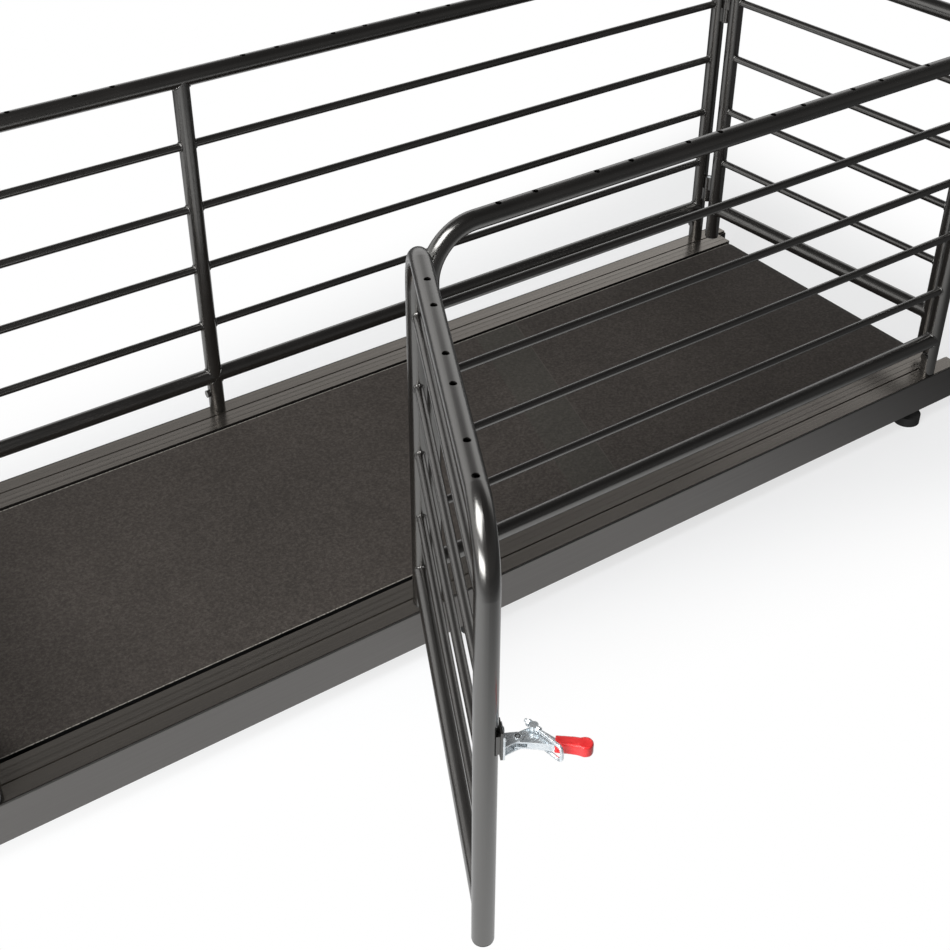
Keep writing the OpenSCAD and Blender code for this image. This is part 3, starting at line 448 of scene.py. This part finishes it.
# die lines are about 0.3 mm apart, drawn at 1.6 mm so that they show
stretch = add(tree, "ShaderNodeMapping", {},
              {"Vector": at, "Scale": (1 / (900 * MM), 1 / (1.6 * MM), 1 / (1.6 * MM))})
lines = add(tree, "ShaderNodeTexNoise", {}, {"Vector": stretch.outputs[0], "Scale": 1.0, "Detail": 4})
tint = steps(add(tree, "ShaderNodeValToRGB", {}, {0: lines.outputs[0]}),
             [(0.3, "#87827c"), (0.7, "#9a948d")])
haze = add(tree, "ShaderNodeMapRange", {}, {"Value": lines.outputs[0], 3: 0.20, 4: 0.30})
relief = add(tree, "ShaderNodeBump", {},
             {"Strength": 0.15, "Distance": 0.1 * MM, "Height": lines.outputs[0]})
surface = add(tree, "ShaderNodeBsdfPrincipled", {},
              {"Base Color": tint, "Metallic": 0.95, "Roughness": haze.outputs[0],
               "Normal": relief.outputs[0]})
add(tree, "ShaderNodeOutputMaterial", {}, {"Surface": surface.outputs[0]})
dress(anodised, "side_rail_near", "side_rail_back")

# Skirts
# Flat aluminium plates along both sides, anodised black like the rails.
# The sheet is smoother than the rails, and its chamfered top edge catches the light.
sheet, tree = blank("black_anodised_sheet")
at = add(tree, "ShaderNodeTexCoord", {}, {}).outputs["Object"]
stretch = add(tree, "ShaderNodeMapping", {},
              {"Vector": at, "Scale": (1 / (300 * MM), 1 / (2 * MM), 1 / (2 * MM))})
milled = add(tree, "ShaderNodeTexNoise", {}, {"Vector": stretch.outputs[0], "Scale": 1.0, "Detail": 4})
tint = steps(add(tree, "ShaderNodeValToRGB", {}, {0: milled.outputs[0]}),
             [(0.3, "#676563"), (0.7, "#6c6a68")])
surface = add(tree, "ShaderNodeBsdfPrincipled", {},
              {"Base Color": tint, "Metallic": 0.95, "Roughness": 0.40})
add(tree, "ShaderNodeOutputMaterial", {}, {"Surface": surface.outputs[0]})
dress(sheet, "side_skirts")

# Moulded plastic
# Rail end caps, plugs in the gate posts and the mains inlet, all injection moulded
# in black nylon. The spark-eroded mould leaves a fine dull grain.
nylon, tree = blank("black_moulded_nylon")
at = add(tree, "ShaderNodeTexCoord", {}, {}).outputs["Object"]
spark = add(tree, "ShaderNodeTexNoise", {}, {"Vector": at, "Scale": 1 / (1.0 * MM), "Detail": 2})
relief = add(tree, "ShaderNodeBump", {},
             {"Strength": 0.3, "Distance": 0.1 * MM, "Height": spark.outputs[0]})
tint = steps(add(tree, "ShaderNodeValToRGB", {}, {0: spark.outputs[0]}),
             [(0.3, "#151515"), (0.7, "#1f1f1f")])
surface = add(tree, "ShaderNodeBsdfPrincipled", {},
              {"Base Color": tint, "Roughness": 0.55, "IOR": 1.53, "Normal": relief.outputs[0]})
add(tree, "ShaderNodeOutputMaterial", {}, {"Surface": surface.outputs[0]})
dress(nylon, "rail_end_caps", "side_gate_plugs", "end_gate_plugs", "power_inlet")

# Fences and gates
# Bent steel tube with thin bars welded between the posts, powder coated satin black.
# The coat has a slight orange peel and softens the highlights along the tubes.
coat, tree = blank("satin_black_powder_coat")
at = add(tree, "ShaderNodeTexCoord", {}, {}).outputs["Object"]
peel = add(tree, "ShaderNodeTexNoise", {}, {"Vector": at, "Scale": 1 / (2.2 * MM), "Detail": 2})
cloud = add(tree, "ShaderNodeTexNoise", {}, {"Vector": at, "Scale": 1 / (70 * MM), "Detail": 4})
tint = steps(add(tree, "ShaderNodeValToRGB", {}, {0: cloud.outputs[0]}),
             [(0.3, "#0e0d0c"), (0.7, "#141211")])
haze = add(tree, "ShaderNodeMapRange", {}, {"Value": cloud.outputs[0], 3: 0.20, 4: 0.28})
relief = add(tree, "ShaderNodeBump", {},
             {"Strength": 0.015, "Distance": 0.1 * MM, "Height": peel.outputs[0]})
surface = add(tree, "ShaderNodeBsdfPrincipled", {},
              {"Base Color": tint, "Roughness": haze.outputs[0], "IOR": 1.8, "Specular IOR Level": 0.9,
               "Specular Tint": linear("#fffdf9"), "Normal": relief.outputs[0]})
add(tree, "ShaderNodeOutputMaterial", {}, {"Surface": surface.outputs[0]})
dress(coat, "near_fence_frame", "near_fence_bars", "back_fence_frame", "back_fence_post", "back_fence_bars",
      "front_fence_frame", "front_fence_bars", "corner_blocks", "side_gate_frame", "side_gate_bars",
      "end_gate_frame", "end_gate_bars", "hinge_sockets", "side_gate_knuckles", "end_gate_knuckles",
      "side_latch_bracket", "end_latch_bracket", "leg_bolts")

# Weld beads
# Each bar is welded all round where it meets a post, before the coating.
# The bead follows the saddle edge of the bar in the frame, with the ripples of the torch.
BEAD_R = 1.7 * MM
BEAD_STEP = 1.0 * MM
BEAD_SIDES = 6
LEAST_RIPPLES = 6
RIPPLE_POINTS = 4
RIPPLE = 0.16
SAME_POINT = 0.01 * MM
SHARP = math.radians(40)
# the bead thins to its least share where the sine of the saddle's edge angle falls to this
THIN = 0.45
LEAST_BEAD = 0.04


def saddle_loops(name, above=0.0):
    """Closed runs of sharp edges of a CAD node above a height, as (point, fullness) pairs.

    The fullness is one where the edge is square, and none where it thins to a knife edge."""
    bm = bmesh.new()
    bm.from_mesh(frame["nodes"][name].data)
    bmesh.ops.remove_doubles(bm, verts=bm.verts, dist=SAME_POINT)
    angles = {e: e.calc_face_angle() for e in bm.edges if e.is_manifold}
    sharp = [e for e, angle in angles.items() if angle > SHARP and min(v.co.z for v in e.verts) > above]
    free = set(sharp)
    square = {v: min(math.sin(angles[e]) for e in v.link_edges if e in free) for e in sharp for v in e.verts}
    loops = []
    for edge in sharp:
        if edge not in free:
            continue
        free.discard(edge)
        run = [edge.verts[0], edge.verts[1]]
        while run[-1] is not run[0]:
            onward = next((e for e in run[-1].link_edges if e in free), None)
            if onward is None:
                break
            free.discard(onward)
            run.append(onward.other_vert(run[-1]))
        if run[-1] is run[0]:
            loops.append([(v.co.copy(), max(0.0, square[v] - THIN) / (1 - THIN)) for v in run[:-1]])
    bm.free()
    return loops


def even(loop, step):
    """The same closed run at even steps, a whole number of ripples in all."""
    ring = loop + [loop[0]]
    spans = [(b[0] - a[0]).length for a, b in zip(ring, ring[1:])]
    count = RIPPLE_POINTS * max(LEAST_RIPPLES, round(sum(spans) / step / RIPPLE_POINTS))
    walked = 0.0
    k = 0
    result = []
    for i in range(count):
        target = sum(spans) * i / count
        while walked + spans[k] < target:
            walked += spans[k]
            k += 1
        share = (target - walked) / spans[k]
        (here, full), (there, onward) = ring[k], ring[k + 1]
        result.append((here.lerp(there, share), full + (onward - full) * share))
    return result


def smooth(mesh):
    """Shades a mesh as one round surface."""
    for polygon in mesh.polygons:
        polygon.use_smooth = True


def bead_mesh(name, loops):
    """One mesh with a rippled bead along each loop."""
    points = []
    faces = []
    for loop in loops:
        route = even(loop, BEAD_STEP)
        count = len(route)
        middle = sum((point for point, full in route), Vector()) / count
        start = len(points)
        for i, (point, full) in enumerate(route):
            along = (route[(i + 1) % count][0] - route[i - 1][0]).normalized()
            out = (point - middle).normalized()
            out = (out - along * out.dot(along)).normalized()
            over = along.cross(out)
            radius = BEAD_R * (LEAST_BEAD + full * (1 + RIPPLE * math.cos(FULL_TURN * i / RIPPLE_POINTS)))
            for k in range(BEAD_SIDES):
                turn = FULL_TURN * k / BEAD_SIDES
                points.append(point + (out * math.cos(turn) + over * math.sin(turn)) * radius)
        for i in range(count):
            a = start + i * BEAD_SIDES
            b = start + (i + 1) % count * BEAD_SIDES
            for k in range(BEAD_SIDES):
                n = (k + 1) % BEAD_SIDES
                faces.append((a + k, b + k, b + n, a + n))
    mesh = bpy.data.meshes.new(name)
    mesh.from_pydata(points, [], faces)
    mesh.update()
    smooth(mesh)
    return mesh


def piece(name, mesh, material):
    """Adds a visual piece with its finish to the scene."""
    made = bpy.data.objects.new(name, mesh)
    scene.collection.objects.link(made)
    mesh.materials.clear()
    mesh.materials.append(material)
    return made


# the middle post is welded at its top end only, and its foot is bolted
POST_TOP_END = 40 * MM
post_loops = saddle_loops("back_fence_post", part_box("back_fence_post")[1].z - POST_TOP_END)
beads = {
    "near_fence_welds": ("frame", saddle_loops("near_fence_bars")),
    "back_fence_welds": ("frame", saddle_loops("back_fence_bars") + post_loops),
    "front_fence_welds": ("frame", saddle_loops("front_fence_bars")),
    "side_gate_welds": ("side_gate", saddle_loops("side_gate_bars")),
    "end_gate_welds": ("end_gate", saddle_loops("end_gate_bars")),
}
for name, (body, loops) in beads.items():
    welds = piece(name, bead_mesh(name, loops), coat)
    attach(welds, body)

# Latches
# Pressed levers and bases in bright zinc plate, a bow of threaded rod with nuts,
# and a grip dipped in red vinyl.
dress(zinc, "side_latch_base", "side_latch_lever", "side_latch_bow",
      "end_latch_base", "end_latch_lever", "end_latch_bow")
# Dipped vinyl: glossy red, with soft waves where it flowed
vinyl, tree = blank("dipped_red_vinyl")
at = add(tree, "ShaderNodeTexCoord", {}, {}).outputs["Object"]
flow = add(tree, "ShaderNodeTexNoise", {}, {"Vector": at, "Scale": 1 / (8 * MM), "Detail": 3})
tint = steps(add(tree, "ShaderNodeValToRGB", {}, {0: flow.outputs[0]}),
             [(0.3, "#dd2a2c"), (0.7, "#ee4040")])
relief = add(tree, "ShaderNodeBump", {},
             {"Strength": 0.15, "Distance": 0.2 * MM, "Height": flow.outputs[0]})
surface = add(tree, "ShaderNodeBsdfPrincipled", {},
              {"Base Color": tint, "Roughness": 0.32, "IOR": 1.53, "Normal": relief.outputs[0]})
add(tree, "ShaderNodeOutputMaterial", {}, {"Surface": surface.outputs[0]})
dress(vinyl, "side_latch_grip", "end_latch_grip")
# dipping rounds every edge, so each grip is the CAD grip melted to a soft skin
SKIN_STEP = 0.9 * MM
SKIN_ROUNDS = 14
SKIN_PULL = 0.5
for node in ("side_latch_grip", "end_latch_grip"):
    skin = piece(node + "_skin", frame["nodes"][node].data.copy(), vinyl)
    cells = skin.modifiers.new("cells", "REMESH")
    cells.mode = "VOXEL"
    cells.voxel_size = SKIN_STEP
    melt = skin.modifiers.new("melt", "SMOOTH")
    melt.factor = SKIN_PULL
    melt.iterations = SKIN_ROUNDS
    melted = bpy.data.meshes.new_from_object(skin.evaluated_get(bpy.context.evaluated_depsgraph_get()))
    skin.modifiers.clear()
    skin.data = melted
    smooth(melted)
    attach(skin, node.replace("latch_grip", "lever"))
    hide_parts(node)

# Pivot rivets
# Semi-tubular rivets with a rolled head, pressed over the ears of the base.
# The roll is bright zinc, and the hollow inside shows the bare steel, browned.
RIVET_SIDES = 32
# radius and height of the head in millimetres, from its hollow out over the roll and back below
RIVET_PROFILE = [
    (0.0, 0.15), (1.5, 0.15), (2.0, 0.75), (2.7, 1.05), (3.5, 0.85), (4.1, 0.25), (4.2, -0.2), (0.0, -0.2),
]
# a point of the base this near to the pivot belongs to the pin
PIN_REACH = 3 * MM
# the head fills its own box, so its axis is at the middle of the generated places
HEAD_MIDDLE = (0.5, 0.5, 0)
rolled, tree = blank("rolled_steel_rivet")
at = add(tree, "ShaderNodeTexCoord", {}, {}).outputs["Generated"]
flat = add(tree, "ShaderNodeVectorMath", {"operation": "MULTIPLY"}, {0: at, 1: (1, 1, 0)})
reach = add(tree, "ShaderNodeVectorMath", {"operation": "DISTANCE"},
            {0: flat.outputs[0], 1: HEAD_MIDDLE})
tint = steps(add(tree, "ShaderNodeValToRGB", {}, {0: reach.outputs["Value"]}),
             [(0.0, "#a88a68"), (0.19, "#8f7152"), (0.23, "#1c1815"), (0.34, "#2a2420"),
              (0.39, "#e4eaee"), (0.5, "#f6f9fb")])
surface = add(tree, "ShaderNodeBsdfPrincipled", {}, {"Base Color": tint, "Metallic": 0.7, "Roughness": 0.35})
add(tree, "ShaderNodeOutputMaterial", {}, {"Surface": surface.outputs[0]})
for joint in frame["joints"]:
    if not joint["name"].endswith("lever_turn"):
        continue
    pivot = Vector(joint["pos_m"])
    base = frame["nodes"][joint["child"].replace("lever", "latch_base")]
    pin_top = max(v.co.z for v in base.data.vertices if (v.co - pivot).xy.length < PIN_REACH)
    rows = len(RIVET_PROFILE)
    points = []
    faces = []
    for k in range(RIVET_SIDES):
        turn = FULL_TURN * k / RIVET_SIDES
        points += [(pivot.x + r * MM * math.cos(turn), pivot.y + r * MM * math.sin(turn), pin_top + z * MM)
                   for r, z in RIVET_PROFILE]
        a = k * rows
        b = (k + 1) % RIVET_SIDES * rows
        faces += [(a + i, b + i, b + i + 1, a + i + 1) for i in range(rows - 1)]
    mesh = bpy.data.meshes.new(joint["parent"] + "_rivet")
    mesh.from_pydata(points, [], faces)
    bm = bmesh.new()
    bm.from_mesh(mesh)
    bmesh.ops.remove_doubles(bm, verts=bm.verts, dist=SAME_POINT)
    bmesh.ops.recalc_face_normals(bm, faces=bm.faces)
    bm.to_mesh(mesh)
    bm.free()
    smooth(mesh)
    rivet = piece(joint["parent"] + "_rivet", mesh, rolled)
    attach(rivet, joint["parent"])

# Motor hood
# One cover over the motor and the belt drive, injection moulded in black ABS.
# The mould gives it a leather grain and leaves no sharp corner, so its long edges are rounded.
abs_skin, tree = blank("grained_black_abs")
at = add(tree, "ShaderNodeTexCoord", {}, {}).outputs["Object"]
leather = add(tree, "ShaderNodeTexVoronoi", {}, {"Vector": at, "Scale": 1 / (2.5 * MM)})
relief = add(tree, "ShaderNodeBump", {},
             {"Strength": 0.25, "Distance": 0.15 * MM, "Height": leather.outputs[0]})
cloud = add(tree, "ShaderNodeTexNoise", {}, {"Vector": at, "Scale": 1 / (90 * MM), "Detail": 3})
tint = steps(add(tree, "ShaderNodeValToRGB", {}, {0: cloud.outputs[0]}),
             [(0.3, "#1b1b1b"), (0.7, "#242424")])
surface = add(tree, "ShaderNodeBsdfPrincipled", {},
              {"Base Color": tint, "Roughness": 0.5, "IOR": 1.53, "Normal": relief.outputs[0]})
add(tree, "ShaderNodeOutputMaterial", {}, {"Surface": surface.outputs[0]})
dress(abs_skin, "motor_hood")
HOOD_ROUND = 3.5 * MM
HOOD_ROUND_STEPS = 5
ROUND_PROFILE = 0.5
LONG_EDGE = 60 * MM
FLAT = math.radians(1)
CORNER = math.radians(15)
hood_low, hood_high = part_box("motor_hood")
hood_middle = (hood_low + hood_high) / 2
bm = bmesh.new()
bm.from_mesh(frame["nodes"]["motor_hood"].data)
bmesh.ops.remove_doubles(bm, verts=bm.verts, dist=SAME_POINT)
bmesh.ops.dissolve_limit(bm, angle_limit=FLAT, verts=bm.verts, edges=bm.edges)
outer = [e for e in bm.edges if e.is_manifold and e.is_convex and e.calc_length() > LONG_EDGE
         and e.calc_face_angle() > CORNER
         and max(v.co.z for v in e.verts) > hood_low.z + 2 * HOOD_ROUND
         and all(f.normal.dot(f.calc_center_median() - hood_middle) > 0 for f in e.link_faces)]
bmesh.ops.bevel(bm, geom=outer, offset=HOOD_ROUND, segments=HOOD_ROUND_STEPS, profile=ROUND_PROFILE,
                affect="EDGES", clamp_overlap=True)
mesh = bpy.data.meshes.new("motor_hood_skin")
bm.to_mesh(mesh)
bm.free()
hood = piece("motor_hood_skin", mesh, abs_skin)
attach(hood, "frame")
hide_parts("motor_hood")

# Control panel
# A flat plate on the hood that carries the three keys, with a window over the display.
# The plate is moulded in polycarbonate, and the window is cut from acrylic sheet.
# Polycarbonate: dark grey with a satin face
panel, tree = blank("satin_polycarbonate")
at = add(tree, "ShaderNodeTexCoord", {}, {}).outputs["Object"]
fine = add(tree, "ShaderNodeTexNoise", {}, {"Vector": at, "Scale": 1 / (1.5 * MM), "Detail": 2})
tint = steps(add(tree, "ShaderNodeValToRGB", {}, {0: fine.outputs[0]}),
             [(0.3, "#3a3b3c"), (0.7, "#444546")])
surface = add(tree, "ShaderNodeBsdfPrincipled", {}, {"Base Color": tint, "Roughness": 0.45, "IOR": 1.58})
add(tree, "ShaderNodeOutputMaterial", {}, {"Surface": surface.outputs[0]})
dress(panel, "control_panel")

# Smoked acrylic: near black and glossy, a little hazed by wiping
window, tree = blank("smoked_acrylic")
at = add(tree, "ShaderNodeTexCoord", {}, {}).outputs["Object"]
smoke = add(tree, "ShaderNodeTexNoise", {}, {"Vector": at, "Scale": 1 / (20 * MM), "Detail": 2})
haze = add(tree, "ShaderNodeMapRange", {}, {"Value": smoke.outputs[0], 3: 0.08, 4: 0.14})
surface = add(tree, "ShaderNodeBsdfPrincipled", {},
              {"Base Color": linear("#0b0c0e"), "Roughness": haze.outputs[0], "IOR": 1.49})
add(tree, "ShaderNodeOutputMaterial", {}, {"Surface": surface.outputs[0]})
dress(window, "display_window")

# Keys and mains rocker
# One red and two grey keys in the panel, and the red rocker of the mains switch.
# All are moulded in one colour each, with a satin face.
key_red, tree = blank("red_moulded_key")
at = add(tree, "ShaderNodeTexCoord", {}, {}).outputs["Object"]
fine = add(tree, "ShaderNodeTexNoise", {}, {"Vector": at, "Scale": 1 / (3 * MM), "Detail": 2})
tint = steps(add(tree, "ShaderNodeValToRGB", {}, {0: fine.outputs[0]}),
             [(0.3, "#b5201d"), (0.7, "#c42a25")])
surface = add(tree, "ShaderNodeBsdfPrincipled", {}, {"Base Color": tint, "Roughness": 0.42, "IOR": 1.5})
add(tree, "ShaderNodeOutputMaterial", {}, {"Surface": surface.outputs[0]})
dress(key_red, "key_start", "power_rocker")

key_grey, tree = blank("grey_moulded_key")
at = add(tree, "ShaderNodeTexCoord", {}, {}).outputs["Object"]
fine = add(tree, "ShaderNodeTexNoise", {}, {"Vector": at, "Scale": 1 / (3 * MM), "Detail": 2})
tint = steps(add(tree, "ShaderNodeValToRGB", {}, {0: fine.outputs[0]}),
             [(0.3, "#a9abac"), (0.7, "#b9bbbc")])
surface = add(tree, "ShaderNodeBsdfPrincipled", {}, {"Base Color": tint, "Roughness": 0.45, "IOR": 1.5})
add(tree, "ShaderNodeOutputMaterial", {}, {"Surface": surface.outputs[0]})
dress(key_grey, "key_plus", "key_minus")

# Key marks
# A raised plus and a raised minus on the two grey keys, pad printed in dark ink.
# They stand a little proud, with softened top edges.
MARK_HALF = 3.2 * MM
MARK_BAR = 0.7 * MM
MARK_RISE = 0.3 * MM
MARK_ROOT = 0.1 * MM
MARK_ROUND = 0.12 * MM
MARK_ROUND_STEPS = 2
ink, tree = blank("dark_pad_print")
at = add(tree, "ShaderNodeTexCoord", {}, {}).outputs["Object"]
fine = add(tree, "ShaderNodeTexNoise", {}, {"Vector": at, "Scale": 1 / (1 * MM), "Detail": 2})
tint = steps(add(tree, "ShaderNodeValToRGB", {}, {0: fine.outputs[0]}),
             [(0.3, "#1a1a1b"), (0.7, "#262627")])
surface = add(tree, "ShaderNodeBsdfPrincipled", {}, {"Base Color": tint, "Roughness": 0.5, "IOR": 1.5})
add(tree, "ShaderNodeOutputMaterial", {}, {"Surface": surface.outputs[0]})
minus = [(-MARK_BAR, -MARK_HALF), (MARK_BAR, -MARK_HALF), (MARK_BAR, MARK_HALF), (-MARK_BAR, MARK_HALF)]
# the plus is one inner corner, turned a quarter three times
corner = [(-MARK_HALF, -MARK_BAR), (-MARK_BAR, -MARK_BAR), (-MARK_BAR, -MARK_HALF)]
plus = []
for quarter in range(4):
    plus += corner
    corner = [(-y, x) for x, y in corner]
for sign, outline in {"plus": plus, "minus": minus}.items():
    key_low, key_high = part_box("key_" + sign)
    key_middle = (key_low + key_high) / 2
    bm = bmesh.new()
    foot = [bm.verts.new((key_middle.x + x, key_middle.y + y, key_high.z - MARK_ROOT)) for x, y in outline]
    raised = bmesh.ops.extrude_face_region(bm, geom=[bm.faces.new(foot)])["geom"]
    bmesh.ops.translate(bm, vec=(0, 0, MARK_RISE + MARK_ROOT),
                        verts=[g for g in raised if isinstance(g, bmesh.types.BMVert)])
    bmesh.ops.recalc_face_normals(bm, faces=bm.faces)
    bmesh.ops.bevel(bm, geom=[e for e in bm.edges if min(v.co.z for v in e.verts) > key_high.z],
                    offset=MARK_ROUND, segments=MARK_ROUND_STEPS, profile=ROUND_PROFILE, affect="EDGES")
    mesh = bpy.data.meshes.new("key_" + sign + "_mark")
    bm.to_mesh(mesh)
    bm.free()
    mark = piece("key_" + sign + "_mark", mesh, ink)
    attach(mark, sign + "_key")
